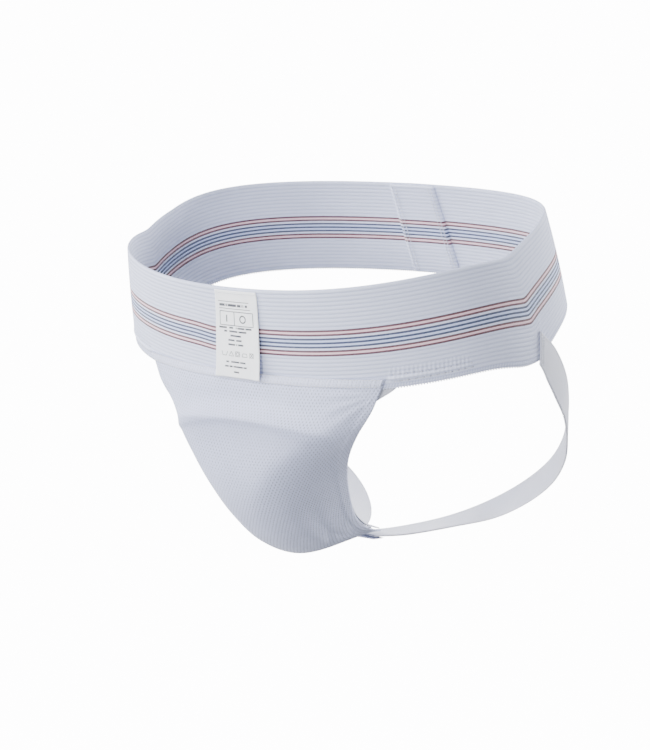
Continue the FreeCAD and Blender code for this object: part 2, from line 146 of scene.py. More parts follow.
TUCK_ARCS = (107.0, 165.0)
TUCK_SEAMS = ((65.6, 66.8), (70.6, 70.0))

# Leg strap, as in the CAD model
STRAP_WIDTH = 25.4
STRAP_LIFT = 0.6
STRAP_THICKNESS = 1.3
END_SETTLE = 0.14
STRAP_HIP = ((1, -43), (18, -57), (36, -75))
STRAP_SEAT = ((170.4, 54, -94), (158.8, 75.5, -115), (145, 94.5, -137), (126, 107, -159),
              (100, 112, -179.5), (72, 106, -196), (46, 84, -205.5), (24, 50, -209.6), (13.2, 17, -207.2))
SEAT_NORMALS = ((0.915, 0.4, 0), (0.83, 0.555, -0.05), (0.74, 0.65, -0.15), (0.6, 0.72, -0.3),
                (0.42, 0.72, -0.5), (0.25, 0.6, -0.72), (0.1, 0.25, -0.95), (0, 0, -1), (0, -0.15, -1))

# Label, as in the CAD model
LABEL_ARC = 19.3
LABEL_TOP = 2.0
LABEL_FOLD = 6.0
LABEL_BOTTOM = 67.5
LABEL_SKEW = 8.0
LABEL_HANG = 4.2
LABEL_FACES = (0.35, 0.05)
PRINT_LIFT = 0.39

# Join at the centre back, and the tape under the base, as in the CAD model
LAP_HALF = 23
LAP_SEAMS = (-20, -17, 17, 20)
BASE_HALF = 26
BASE_DEPTH = (9.5, 23)
BASE_LEVEL = -209.9
BASE_SLOPE = 0.12
BASE_MIDDLE = 17
BASE_SEAMS = (12.0, 20.5)
BASE_SEAM_HALF = 24

# Camera
AZIMUTH = math.radians(37.0)
ELEVATION = math.radians(9.22)
DISTANCE = 1.70839
AIM = (-0.01176, -0.08043)
LENS = 105.56


# ---- curves and grids
def along(points, share):
    """Points at shares (an array) of the smooth curve through the given points."""
    points = np.asarray(points, float)
    last = len(points) - 1
    place = np.clip(np.asarray(share, float), 0, 1) * last
    index = np.minimum(place.astype(int), last - 1)
    rest = (place - index)[..., None]
    padded = np.vstack([2 * points[0] - points[1], points, 2 * points[last] - points[last - 1]])
    a, b, c, d = (padded[index + k] for k in range(4))
    return b + 0.5 * rest * ((c - a) + rest * ((2 * a - 5 * b + 4 * c - d) + rest * (3 * b - a - 3 * c + d)))


def signed_power(value, power):
    return np.sign(value) * np.abs(value) ** power


def unit(vectors):
    return vectors / np.maximum(np.linalg.norm(vectors, axis=-1, keepdims=True), 1e-12)


def smooth_step(low, high, value):
    share = np.clip((value - low) / (high - low), 0, 1)
    return share * share * (3 - 2 * share)


def bump(distance, reach):
    return np.exp(-(distance / reach) ** 2)


def with_normals(place, a, b, step_a, step_b, flip=-1):
    """Points of a two-value shape function, and unit normals from small steps."""
    across = place(a + step_a, b) - place(a - step_a, b)
    down = place(a, b + step_b) - place(a, b - step_b)
    return place(a, b), unit(np.cross(across, down)) * flip


# ---- waist and band
def half_width(u):
    """Half width of the waist at a share of the band's width below the origin."""
    return HALF_WIDTH[0] + HALF_WIDTH[1] * u + HALF_WIDTH[2] * u * u


def oval(angle, z):
    u = -z / BAND_WIDTH
    half = half_width(u)
    front = np.cos(angle) > 0
    reach = np.where(front, FRONT_DEPTH[0] + FRONT_DEPTH[1] * u, BACK_DEPTH[0] + BACK_DEPTH[1] * u)
    x = half * signed_power(np.sin(angle), 2 / OVAL_POWER)
    y = -reach * signed_power(np.cos(angle), 2 / OVAL_POWER)
    return np.stack([x, y, z + 0 * x], -1)


ANGLES = np.linspace(0, math.pi, 361)
ARCS = np.concatenate([[0], np.cumsum(np.linalg.norm(np.diff(oval(ANGLES, 0 * ANGLES), axis=0), axis=1))])
HALF_WAIST = ARCS[-1]
HIP_ARC = float(np.interp(HIP_ANGLE, ANGLES, ARCS))


def front_edge(arc):
    angle = np.minimum(np.interp(np.abs(arc), ARCS, ANGLES), HIP_ANGLE)
    return FRONT_RISE[0] * angle ** 2 + FRONT_RISE[1] * angle ** 4


def back_edge(arc):
    behind = np.abs(arc) - HIP_ARC
    fade = np.exp(-np.maximum(behind, 0) / BACK_FADE)
    climb = np.where(behind < 0, BACK_SLOPE * behind, BACK_SLOPE * BACK_FADE * (1 - fade))
    return front_edge(HIP_ARC) + climb, BACK_SLOPE * fade


def band_place(arc, s):
    """Band's outer face: arc length from the front (any turn), and distance below the top edge."""
    arc = (arc + HALF_WAIST) % (2 * HALF_WAIST) - HALF_WAIST
    slope = (front_edge(arc + SLOPE_STEP) - front_edge(arc - SLOPE_STEP)) / (2 * SLOPE_STEP)
    lean = MITRE * bump(np.abs(arc) - HIP_ARC, MITRE_REACH)
    shifted = arc + s * (np.sin(np.arctan(slope)) + np.sign(arc) * lean)
    behind = np.abs(shifted) - HIP_ARC
    low = (np.maximum(s, 0) / BAND_WIDTH) ** 4
    pull = STRAP_PULL * low * bump(behind - STRAP_PULL_SHIFT, STRAP_PULL_REACH)
    front = front_edge(shifted) - s * np.hypot(1, slope) - pull
    climb, back_slope = back_edge(shifted)
    stretched = s * (1 + BACK_STRETCH * bump(behind, BACK_STRETCH_REACH))
    dip = BACK_PULL * low * bump(behind, BACK_PULL_REACH)
    back = climb - stretched * np.hypot(1, back_slope) - dip
    fade = np.exp(-np.maximum(s, 0) / CREASE_SOFT[2])
    soft = CREASE_SOFT[1] + (CREASE_SOFT[0] - CREASE_SOFT[1]) * fade
    z = (front + back) / 2 + np.hypot((front - back) / 2, soft)
    return oval(np.sign(shifted) * np.interp(np.abs(shifted), ARCS, ANGLES), z)


def band(arc, s):
    return with_normals(band_place, arc, s, 2.0, 2.0)


# ---- pouch
def pouch_place(u, v):
    values = along(POUCH_SECTIONS, v)
    centre_y, centre_z, edge_x, edge_y, edge_z, power, bulge = np.moveaxis(values, -1, 0)
    share = np.abs(u) ** power
    x = edge_x * u + SIDE_BULGE * bulge * u * (1 - u ** 4)
    return np.stack([x, centre_y + (edge_y - centre_y) * share, centre_z + (edge_z - centre_z) * share], -1)


def pouch(u, v):
    return with_normals(pouch_place, u, v, 0.01, 0.004)


def lining_place(u, v):
    values = along(POUCH_SECTIONS, v)
    edge = np.stack([0.95 * values[..., 2] * u, values[..., 3], values[..., 4]], -1)
    return edge + LINING_LIFT * (1.6 + 2.0 * (1 - u * u))[..., None]


def lining(u, v):
    return with_normals(lining_place, u, v, 0.01, 0.004)


# ---- leg straps
def strap_line(side):
    y, z = np.array(STRAP_HIP, float).T
    u = -z / BAND_WIDTH
    half = half_width(u)
    reach = BACK_DEPTH[0] + BACK_DEPTH[1] * u
    x = half * (1 - (y / reach) ** OVAL_POWER) ** (1 / OVAL_POWER)
    slope = half / reach * (y / reach) ** (OVAL_POWER - 1)
    mirror = np.array((side, 1, 1))
    points = np.vstack([np.stack([x, y, z], -1), STRAP_SEAT]) * mirror
    normals = np.vstack([np.stack([1 + 0 * y, slope, 0 * y], -1), SEAT_NORMALS]) * mirror
    return points, normals


def strip_frame(points, normals, share):
    """Centre, width direction and outward direction along a strip."""
    centre = along(points, share)
    tangent = unit(along(points, share + 0.004) - along(points, share - 0.004))
    normal = along(normals, share)
    normal = unit(normal - tangent * np.sum(normal * tangent, -1, keepdims=True))
    return centre, np.cross(tangent, normal), normal


# ---- meshes
def add_mesh(name, points, faces, uv=None):
    """Mesh object from points in millimetres; uv holds cloth places in millimetres."""
    mesh = bpy.data.meshes.new(name)
    mesh.from_pydata((np.asarray(points) * MM).tolist(), [], [list(face) for face in faces])
    if uv is not None:
        layer = mesh.uv_layers.new(name="cloth")
        index = np.empty(len(mesh.loops), int)
        mesh.loops.foreach_get("vertex_index", index)
        layer.data.foreach_set("uv", (np.asarray(uv)[index] * 0.01).ravel())
    mesh.polygons.foreach_set("use_smooth", [True] * len(mesh.polygons))
    mesh.update()
    piece = bpy.data.objects.new(name, mesh)
    bpy.context.scene.collection.objects.link(piece)
    return piece


def quads(rows, columns, start=0, closed=False, flip=False):
    """Faces of a grid of points; closed joins the last row to the first."""
    last = rows if closed else rows - 1
    i, j = np.meshgrid(np.arange(last), np.arange(columns - 1), indexing="ij")
    a = i * columns + j
    b = ((i + 1) % rows) * columns + j
    faces = np.stack([a, b, b + 1, a + 1], -1).reshape(-1, 4) + start
    return faces[:, ::-1] if flip else faces


def cloth(name, outer, inner, uv, closed=False):
    """Closed cloth piece between two grids of points that face outwards and inwards."""
    rows, columns = outer.shape[:2]
    count = rows * columns
    points = np.vstack([outer.reshape(-1, 3), inner.reshape(-1, 3)])
    both_uv = np.vstack([uv.reshape(-1, 2)] * 2)
    faces = [quads(rows, columns, 0, closed, True), quads(rows, columns, count, closed, False)]
    ring = np.arange(rows) * columns
    following = np.roll(ring, -1)
    if not closed:
        ring, following = ring[:-1], following[:-1]
    end = columns - 1
    faces.append(np.stack([ring, ring + count, following + count, following], -1)[:, ::-1])
    faces.append(np.stack([ring + end, ring + end + count, following + end + count, following + end], -1))
    if not closed:
        line = np.arange(columns - 1)
        faces.append(np.stack([line, line + 1, line + 1 + count, line + count], -1)[:, ::-1])
        line = line + (rows - 1) * columns
        faces.append(np.stack([line, line + 1, line + 1 + count, line + count], -1))
    return add_mesh(name, points, np.vstack(faces), both_uv)


def grid(a, b):
    return np.meshgrid(np.asarray(a, float), np.asarray(b, float), indexing="ij")


def lengths(points, axis):
    """Running length along one axis of a grid of points, zero at its start."""
    step = np.linalg.norm(np.diff(points, axis=axis), axis=-1)
    zero = np.zeros_like(np.take(step, [0], axis))
    return np.concatenate([zero, np.cumsum(step, axis)], axis)


def thread(name, points, normals, pitch, radius, lift=0.0, share=0.72):
    """A line of separate stitches: small rounded threads laid along a line of points."""
    rings, sides = 7, 6
    run = lengths(points, 0)
    count = max(int(run[-1] / pitch), 1)
    turn = np.linspace(0, 2 * math.pi, sides, endpoint=False)
    position = np.linspace(-1, 1, rings)
    girth = np.sqrt(np.maximum(1 - position ** 4, 0.02))
    sink = 0.9 * position ** 4
    all_points, all_faces = [], []
    for i in range(count):
        middle = (i + 0.5) * run[-1] / count
        half = 0.5 * share * run[-1] / count
        at = middle + position * half
        centre = np.stack([np.interp(at, run, points[:, k]) for k in range(3)], -1)
        normal = unit(np.stack([np.interp(at, run, normals[:, k]) for k in range(3)], -1))
        tangent = unit(np.gradient(centre, axis=0))
        across = unit(np.cross(tangent, normal))
        centre = centre + normal * (lift + radius * (0.55 - sink))[:, None]
        sideways = across[:, None] * (np.cos(turn) * radius)[None, :, None]
        upwards = normal[:, None] * (np.sin(turn) * radius * 0.8)[None, :, None]
        ring = centre[:, None] + (sideways + upwards) * girth[:, None, None]
        start = i * rings * sides
        all_points.append(ring.reshape(-1, 3))
        for k in range(rings - 1):
            for m in range(sides):
                a = start + k * sides + m
                b = start + k * sides + (m + 1) % sides
                all_faces.append((a, b, b + sides, a + sides))
        all_faces.append(tuple(start + m for m in range(sides))[::-1])
        all_faces.append(tuple(start + (rings - 1) * sides + m for m in range(sides)))
    return add_mesh(name, np.vstack(all_points), all_faces)


def join(name, pieces):
    """One object from several."""
    for piece in bpy.context.selected_objects:
        piece.select_set(False)
    for piece in pieces:
        piece.select_set(True)
    bpy.context.view_layer.objects.active = pieces[0]
    bpy.ops.object.join()
    pieces[0].name = name
    pieces[0].data.name = name
    return pieces[0]


def sew(name, rows, node):
    """Joins lines of stitches into one thread piece that stands for a CAD node."""
    return finish_piece(join(name, rows), "root", "thread", THREAD, node)


def finish_piece(piece, body, slot, material, *nodes):
    """Gives a piece its material and hides its CAD nodes; body is None for a piece left without a body. The
    slot is not used.
    """
    piece.data.materials.clear()
    piece.data.materials.append(material)
    if body:
        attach(piece, body)
    if nodes:
        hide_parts(*nodes)
    return piece


# ---- material tools
class Shader:
    """Small helper that adds nodes to one material."""

    def __init__(self, name, roughness, sheen=0.0, sheen_roughness=0.5):
        self.material = bpy.data.materials.new(name)
        self.material.use_nodes = True
        self.tree = self.material.node_tree
        self.main = self.tree.nodes["Principled BSDF"]
        self.main.inputs["Roughness"].default_value = roughness
        self.main.inputs["Specular IOR Level"].default_value = 0.25
        self.main.inputs["Sheen Weight"].default_value = sheen
        self.main.inputs["Sheen Roughness"].default_value = sheen_roughness

    def node(self, kind, **settings):
        node = self.tree.nodes.new(kind)
        for key, value in settings.items():
            setattr(node, key, value)
        return node

    def feed(self, socket, value):
        if isinstance(value, bpy.types.NodeSocket):
            self.tree.links.new(value, socket)
        else:
            socket.default_value = value

    def math(self, operation, a, b=None, c=None):
        node = self.node("ShaderNodeMath", operation=operation)
        for socket, value in zip(node.inputs, (a, b, c)):
            if value is not None:
                self.feed(socket, value)
        return node.outputs[0]

    def times(self, a, b):
        return self.math("MULTIPLY", a, b)

    def scaled(self, value, factor, added):
        return self.math("MULTIPLY_ADD", value, factor, added)

    def minus(self, a, b):
        return self.math("SUBTRACT", a, b)

    def inside(self, share):
        """1 where a share lies between 0 and 1, else 0."""
        return self.times(self.math("GREATER_THAN", share, 0.0), self.math("LESS_THAN", share, 1.0))

    def soft_range(self, value, low, high):
        """Smooth 0 to 1 as a value goes from low to high."""
        node = self.node("ShaderNodeMapRange", interpolation_type="SMOOTHSTEP")
        for socket, given in (("Value", value), ("From Min", low), ("From Max", high)):
            self.feed(node.inputs[socket], given)
        return node.outputs[0]

    def cloth_place(self):
        """Places along and across the cloth, in millimetres."""
        uv = self.node("ShaderNodeUVMap", uv_map="cloth")
        parts = self.node("ShaderNodeSeparateXYZ")
        self.tree.links.new(uv.outputs[0], parts.inputs[0])
        return self.math("MULTIPLY", parts.outputs[0], 100.0), self.math("MULTIPLY", parts.outputs[1], 100.0)

    def object_place(self):
        return self.node("ShaderNodeTexCoord").outputs["Object"]

    def noise(self, vector, scale, detail):
        """Noise whose middle half is spread over 0 to 1."""
        node = self.node("ShaderNodeTexNoise")
        self.feed(node.inputs["Vector"], vector)
        node.inputs["Scale"].default_value = scale
        node.inputs["Detail"].default_value = detail
        spread = self.node("ShaderNodeMapRange")
        self.feed(spread.inputs["Value"], node.outputs[0])
        spread.inputs["From Min"].default_value = 0.25
        spread.inputs["From Max"].default_value = 0.75
        return spread.outputs[0]

    def mix(self, factor, a, b):
        node = self.node("ShaderNodeMix", data_type="RGBA")
        self.feed(node.inputs[0], factor)
        self.feed(node.inputs[6], a)
        self.feed(node.inputs[7], b)
        return node.outputs[2]

    def steps(self, factor, colours):
        """Equal steps of colour over 0 to 1."""
        node = self.node("ShaderNodeValToRGB")
        node.color_ramp.interpolation = "CONSTANT"
        elements = node.color_ramp.elements
        while len(elements) < len(colours):
            elements.new(0.5)
        for i, (element, colour) in enumerate(zip(elements, colours)):
            element.position = i / len(colours)
            element.color = colour
        self.feed(node.inputs[0], factor)
        return node.outputs[0]

    def wave(self, value, pitch, power=1.0):
        """Repeating 0 to 1 hump along a value."""
        turned = self.math("COSINE", self.math("MULTIPLY", value, 2 * math.pi / pitch))
        hump = self.math("MULTIPLY_ADD", turned, 0.5, 0.5)
        return hump if power == 1.0 else self.math("POWER", hump, power)

    def relief(self, height, distance, strength=1.0):
        node = self.node("ShaderNodeBump")
        node.inputs["Distance"].default_value = distance * MM
        node.inputs["Strength"].default_value = strength
        self.feed(node.inputs["Height"], height)
        self.tree.links.new(node.outputs[0], self.main.inputs["Normal"])

    def colour(self, value):
        self.feed(self.main.inputs["Base Color"], value)


def rgb(red, green, blue):
    """Linear colour from display values of 0 to 255."""
    result = []
    for value in (red, green, blue):
        value = value / 255
        result.append(value / 12.92 if value <= 0.04045 else ((value + 0.055) / 1.055) ** 2.4)
    return (*result, 1.0)


WHITE = rgb(198, 205, 236)
BAND_WHITE = rgb(217, 222, 246)
SHADE = rgb(164, 172, 206)
RED = rgb(66, 6, 20)
BLUE = rgb(14, 22, 62)
CUP_SHADE = rgb(152, 158, 186)
PINK = rgb(236, 194, 202)
PALE_BLUE = rgb(190, 204, 242)
LINE_COLOURS = (RED, RED, BLUE, BLUE, BLUE, RED, RED)
FILL_COLOURS = (PINK, BAND_WHITE, PALE_BLUE, PALE_BLUE, BAND_WHITE, PINK)


# ---- materials
def loop_gap_shade(shader, arc, s):
    """Painted shade in the slanted gaps between the loops of the band's lower edge."""
    near = shader.math("GREATER_THAN", s, BAND_WIDTH - LOOP_DEPTH)
    gap = shader.wave(shader.scaled(s, 0.45, arc), LOOP_PITCH, 1.6)
    return shader.times(shader.times(gap, near), 0.8)


def needle_hole_shade(shader, arc, s):
    """Painted shade: dark dots in the needle holes where the two tuck seams pull the band in."""
    start, end = TUCK_ARCS
    run = shader.minus(shader.math("ABSOLUTE", arc), start)
    share = shader.math("DIVIDE", run, end - start)
    hole = shader.wave(run, NEEDLE_PITCH, 5.0)
    total = 0.0
    for (first, last), depth in zip(TUCK_SEAMS, (0.45, 0.85)):
        seam = shader.scaled(share, last - first, first)
        away = shader.math("ABSOLUTE", shader.minus(s, seam))
        line = shader.minus(1.0, shader.times(away, 1 / HOLE_REACH))
        line = shader.math("MAXIMUM", line, 0.0)
        both = shader.times(line, shader.scaled(hole, 0.8, 0.2))
        total = shader.scaled(both, depth, total)
    return shader.times(total, shader.inside(share))


def band_material(name="band_cloth", striped=True):
    """Ribbed woven elastic with crosswise yarns, and the stripe by distance from the top edge."""
    shader = Shader(name, 0.82, sheen=0.25)
    arc, s = shader.cloth_place()
    rib = shader.wave(shader.minus(s, 0.5 * RIB_PITCH), RIB_PITCH, 0.6)
    yarn = shader.wave(arc, 0.9)
    fine = shader.wave(s, 0.75)
    weave = shader.times(yarn, fine)
    place = shader.object_place()
    blotch = shader.noise(place, 26.0, 3.0)
    ground = shader.mix(blotch, rgb(211, 217, 240), BAND_WHITE)
    # Painted shade: the grooves between the ribs are darker than the crests.
    ground = shader.mix(rib, shader.mix(0.6, ground, SHADE), ground)
    if striped:
        end = STRIPE_START + RIB_PITCH * (STRIPE_LINES - 1)
        span = end - STRIPE_START
        fill_place = shader.math("DIVIDE", shader.minus(s, STRIPE_START), span)
        fill = shader.steps(fill_place, FILL_COLOURS)
        ground = shader.mix(shader.times(shader.inside(fill_place), 0.85), ground, fill)
        line_place = shader.minus(s, STRIPE_START - 0.5 * RIB_PITCH)
        line_place = shader.math("DIVIDE", line_place, span + RIB_PITCH)
        line_colour = shader.steps(line_place, LINE_COLOURS)
        crest = shader.wave(shader.minus(s, STRIPE_START), RIB_PITCH)
        wobble = shader.scaled(shader.noise(place, 900.0, 1.0), 0.06, 0.42)
        edge = shader.soft_range(crest, wobble, shader.math("ADD", wobble, 0.12))
        dash = shader.scaled(shader.wave(arc, 0.9), 0.18, 0.8)
        mask = shader.times(shader.times(edge, shader.inside(line_place)), dash)
        ground = shader.mix(mask, ground, line_colour)
    # Painted shade in the gaps between the edge loops.
    ground = shader.mix(loop_gap_shade(shader, arc, s), ground, SHADE)
    # Painted shade in the needle holes of the tuck seams.
    ground = shader.mix(needle_hole_shade(shader, arc, s), ground, rgb(84, 88, 108))
    shader.colour(ground)
    height = shader.math("ADD", shader.times(rib, 0.6), shader.times(weave, 0.4))
    shader.relief(height, 0.35, 0.8)
    return shader.material


def cup_shadow(shader, across, down):
    """Painted shade: slightly darker cloth just below the line where it bends over the cup's top edge,
    fading further down.
    """
    line = shader.scaled(shader.times(across, across), CUP_LINE[1], CUP_LINE[0])
    below = shader.minus(down, line)
    start = shader.soft_range(below, 0.0, CUP_SHADOW[0])
    fade = shader.math("EXPONENT", shader.times(shader.math("MAXIMUM", below, 0.0), -1 / CUP_SHADOW[1]))
    sides = shader.soft_range(shader.math("ABSOLUTE", across), CUP_SHADOW[2], 0.5 * CUP_SHADOW[2])
    return shader.times(shader.times(start, fade), sides)


def mesh_material(name, pitch, hole_depth, tint=WHITE, painted_cup_shade=False):
    """Birdseye mesh: staggered small holes on a diagonal lattice, with painted shade in the holes."""
    shader = Shader(name, 0.78, sheen=0.3)
    across, down = shader.cloth_place()
    turn = 2 * math.pi / pitch
    a = shader.times(shader.math("ADD", across, shader.times(down, MESH_SLANT)), turn)
    b = shader.times(shader.minus(across, shader.times(down, MESH_SLANT)), turn)
    lattice = shader.scaled(shader.math("COSINE", a), 1.2, shader.times(shader.math("COSINE", b), 0.8))
    hole = shader.soft_range(lattice, 0.55, 1.7)
    knit = shader.times(shader.wave(across, 0.42), shader.wave(down, 0.55))
    place = shader.object_place()
    patchy = shader.noise(place, 18.0, 3.0)
    ground = shader.mix(patchy, shader.mix(0.2, tint, SHADE), tint)
    if painted_cup_shade:
        # Painted shade below the cup's top edge.
        ground = shader.mix(cup_shadow(shader, across, down), ground, CUP_SHADE)
    # Painted shade in the holes, darker in some places than others.
    hole_shade_spread = shader.scaled(shader.noise(place, 45.0, 2.0), 0.5, 0.5)
    dark = shader.times(shader.times(hole, hole_depth), hole_shade_spread)
    shader.colour(shader.mix(dark, ground, rgb(112, 116, 136)))
    height = shader.minus(shader.times(knit, 0.25), hole)
    shader.relief(height, 0.4, 0.8)
    return shader.material


def knit_material(name, tint=WHITE, rib=0.55, roughness=0.8):
    """Fine plain knit with wales along the cloth."""
    shader = Shader(name, roughness, sheen=0.25)
    across, down = shader.cloth_place()
    wale = shader.wave(across, rib)
    course = shader.wave(shader.math("ADD", down, shader.times(wale, 0.12)), rib * 0.8)
    stitch = shader.times(wale, shader.scaled(course, 0.6, 0.4))
    blotch = shader.noise(shader.object_place(), 40.0, 3.0)
    ground = shader.mix(blotch, shader.mix(0.25, tint, SHADE), tint)
    # Painted shade between the wales.
    shader.colour(shader.mix(shader.times(shader.minus(1.0, wale), 0.25), ground, SHADE))
    shader.relief(stitch, 0.12, 0.6)
    return shader.material


def thread_material():
    shader = Shader("sewing_thread", 0.5, sheen=0.2)
    place = shader.object_place()
    twist = shader.noise(place, 2500.0, 1.0)
    shader.colour(shader.mix(twist, rgb(192, 194, 206), rgb(222, 223, 230)))
    shader.relief(twist, 0.05, 0.5)
    return shader.material


def plastic_material():
    shader = Shader("cup_plastic", 0.38)
    shader.main.inputs["Specular IOR Level"].default_value = 0.45
    place = shader.object_place()
    grain = shader.noise(place, 700.0, 3.0)
    flow = shader.noise(place, 12.0, 2.0)
    shader.colour(shader.mix(flow, rgb(214, 216, 220), rgb(226, 228, 231)))
    shader.feed(shader.main.inputs["Roughness"], shader.scaled(grain, 0.14, 0.3))
    shader.relief(grain, 0.04, 0.4)
    return shader.material


def rubber_material():
    shader = Shader("soft_rim", 0.62)
    place = shader.object_place()
    grain = shader.noise(place, 500.0, 4.0)
    dust = shader.noise(place, 30.0, 3.0)
    shader.colour(shader.mix(dust, rgb(148, 151, 158), rgb(168, 171, 178)))
    shader.relief(grain, 0.06, 0.5)
    return shader.material


def satin_material():
    shader = Shader("label_satin", 0.34, sheen=0.15)
    shader.main.inputs["Specular IOR Level"].default_value = 0.7
    across, down = shader.cloth_place()
    weave = shader.times(shader.wave(across, 0.3), shader.wave(down, 0.9))
    blotch = shader.noise(shader.object_place(), 60.0, 2.0)
    shader.colour(shader.mix(blotch, rgb(238, 240, 245), rgb(247, 248, 251)))
    shader.relief(weave, 0.05, 0.5)
    return shader.material


def print_material():
    shader = Shader("label_print", 0.7)
    fade = shader.noise(shader.object_place(), 1400.0, 2.0)
    shader.colour(shader.mix(fade, rgb(70, 72, 78), rgb(110, 112, 118)))
    shader.relief(fade, 0.02, 0.3)
    return shader.material


BAND = band_material()
BAND_BACK = band_material("band_inside", striped=False)
POUCH_MESH = mesh_material("pouch_birdseye", 2.9, 0.8, rgb(200, 206, 235), True)
TAPE = mesh_material("hem_birdseye", 2.9, 0.35, rgb(210, 215, 241))
LINING = knit_material("lining_knit", rgb(212, 213, 221))
NARROW = knit_material("narrow_elastic", rgb(214, 215, 223), rib=0.8)
STRAP = knit_material("strap_knit", rgb(214, 215, 223), rib=0.7)
THREAD = thread_material()
PLASTIC = plastic_material()
RUBBER = rubber_material()
SATIN = satin_material()
PRINT = print_material()


# ---- waistband
def rib_profile(s):
    """Height of the woven ribs, with soft rolled edges at both sides of the band."""
    phase = (s / RIB_PITCH) % 1.0
    ridge = RIB_HEIGHT * np.sqrt(np.maximum(1 - 0.94 * (2 * phase - 1) ** 2, 0))
    from_edge = np.minimum(s, BAND_WIDTH - s)
    return ridge - 0.45 * (1 - smooth_step(0, 0.9, from_edge))


def band_wave(arc, s):
    """Slight unevenness of stretched elastic, and the sewn channel that holds the leg elastic's tail."""
    slow = 0.25 * np.sin(arc / 31.0 + 0.7) * np.sin(arc / 77.0) * (s / BAND_WIDTH)
    along_tuck = (np.abs(arc) - TUCK_ARCS[0]) / (TUCK_ARCS[1] - TUCK_ARCS[0])
    inside = smooth_step(-0.08, 0.0, along_tuck) * smooth_step(1.06, 0.9, along_tuck)
    share = np.clip(along_tuck, 0, 1)
    upper, lower = (start + (end - start) * share for start, end in TUCK_SEAMS)
    needle = np.cos(np.abs(arc - np.sign(arc) * TUCK_ARCS[0]) * 2 * math.pi / NEEDLE_PITCH)
    holes = 0.35 + 0.65 * smooth_step(0.1, 0.9, needle)
    seams = -SEAM_DEPTH * (0.7 * bump(s - upper, 0.5) + bump(s - lower, 0.5)) * holes
    fade = 1 - 0.55 * share
    puff = PUFF_HEIGHT * fade * bump(s - 0.5 * (upper + lower), 1.7)
    gather = 0.22 * bump(s - upper + 1.5, 4.5) * np.sin(arc * 2 * math.pi / GATHER_PITCH + 0.5 * s)
    return slow + (seams + puff + gather) * inside


def band_columns():
    """Arc lengths of the band's mesh columns, close together where the tucks are sewn."""
    coarse, fine = 2.8, 0.45
    start, end = TUCK_ARCS[0] - 6, TUCK_ARCS[1] + 5
    tuck = np.arange(start, end, fine)
    front = np.linspace(0, start, int(start / coarse) + 1)[:-1]
    back = np.linspace(end, HALF_WAIST, int((HALF_WAIST - end) / coarse) + 1)
    half = np.concatenate([front, tuck, back])
    return np.concatenate([-half[:0:-1], half[:-1]])


def make_waistband():
    columns = band_columns()
    per_rib = 6
    s = np.linspace(0, BAND_WIDTH, RIB_COUNT * per_rib + 1)
    arc, down = grid(columns, s)
    points, normals = band(arc, down)
    sag = LABEL_SAG[0] * bump(arc - LABEL_SAG[1], LABEL_SAG[2]) * np.sin(math.pi * down / BAND_WIDTH)
    woven = down - sag
    lift = rib_profile(woven) + band_wave(arc, down)
    outer = points + normals * lift[..., None]
    back_lift = -BAND_THICKNESS - 0.6 * rib_profile(woven) + band_wave(arc, down)
    inner = points + normals * back_lift[..., None]
    uv = np.stack([arc, woven], -1)
    piece = cloth("waistband_elastic", outer, inner, uv, closed=True)
    return finish_piece(piece, "root", "band_elastic", BAND, "waistband")


def make_picot():
    """Small looped teeth along the lower edge of the band."""
    count = int(2 * HALF_WAIST / LOOP_PITCH)
    arc = (np.arange(count * 4) / 4.0) * (2 * HALF_WAIST / count) - HALF_WAIST
    tooth = np.tile([0.0, 0.9, 0.9, 0.0], count)
    rows = []
    thickness = (0.3, 0.75, 0.7, 0.0, -0.42, -0.42)
    depth = (-0.5, -0.2, 1.0, 1.25, 1.0, -0.2)
    for lift, share in zip(thickness, depth):
        s = BAND_WIDTH + np.where(share > 0, tooth * share, share)
        points, normals = band(arc, s)
        rows.append(points + normals * (lift - 0.5 * BAND_THICKNESS))
    stack = np.stack(rows + [rows[0]], 1)
    faces = quads(len(arc), len(rows) + 1, 0, True, False)
    uv = np.stack(grid(arc, np.full(len(rows) + 1, 1.5)), -1).reshape(-1, 2)
    piece = add_mesh("band_picot_edge", stack.reshape(-1, 3), faces, uv)
    return finish_piece(piece, "root", "band_elastic", BAND_BACK)


def make_lap():
    arc, s = grid(np.linspace(-LAP_HALF, LAP_HALF, 25), np.linspace(0.8, BAND_WIDTH - 0.8, 101))
    points, normals = band(arc + HALF_WAIST, s)
    lift = -BAND_THICKNESS - 0.25
    outer = points + normals * lift
    depth = 1.5 + 0.5 * rib_profile(s) - 0.9 * (1 - smooth_step(0, 1.2, LAP_HALF - np.abs(arc)))
    inner = outer - normals * depth[..., None]
    piece = cloth("band_join_ply", outer, inner, np.stack([arc, s], -1))
    return finish_piece(piece, "root", "band_elastic", BAND, "waistband_lap")


def surface_line(surface, start, end, count=60):
    share = np.linspace(0, 1, count)
    a = start[0] + (end[0] - start[0]) * share
    b = start[1] + (end[1] - start[1]) * share
    return surface(a, b)


def make_lap_stitches():
    rows = []
    for arc in LAP_SEAMS:
        points, normals = surface_line(band, (HALF_WAIST + arc, 2), (HALF_WAIST + arc, BAND_WIDTH - 2))
        rows.append(thread("row", points, normals, 2.6, 0.34, RIB_HEIGHT))
        back = points - normals * (2 * BAND_THICKNESS + 0.5)
        rows.append(thread("row", back, -normals, 2.6, 0.34))
    return sew("lap_seam_thread", rows, "lap_stitches")


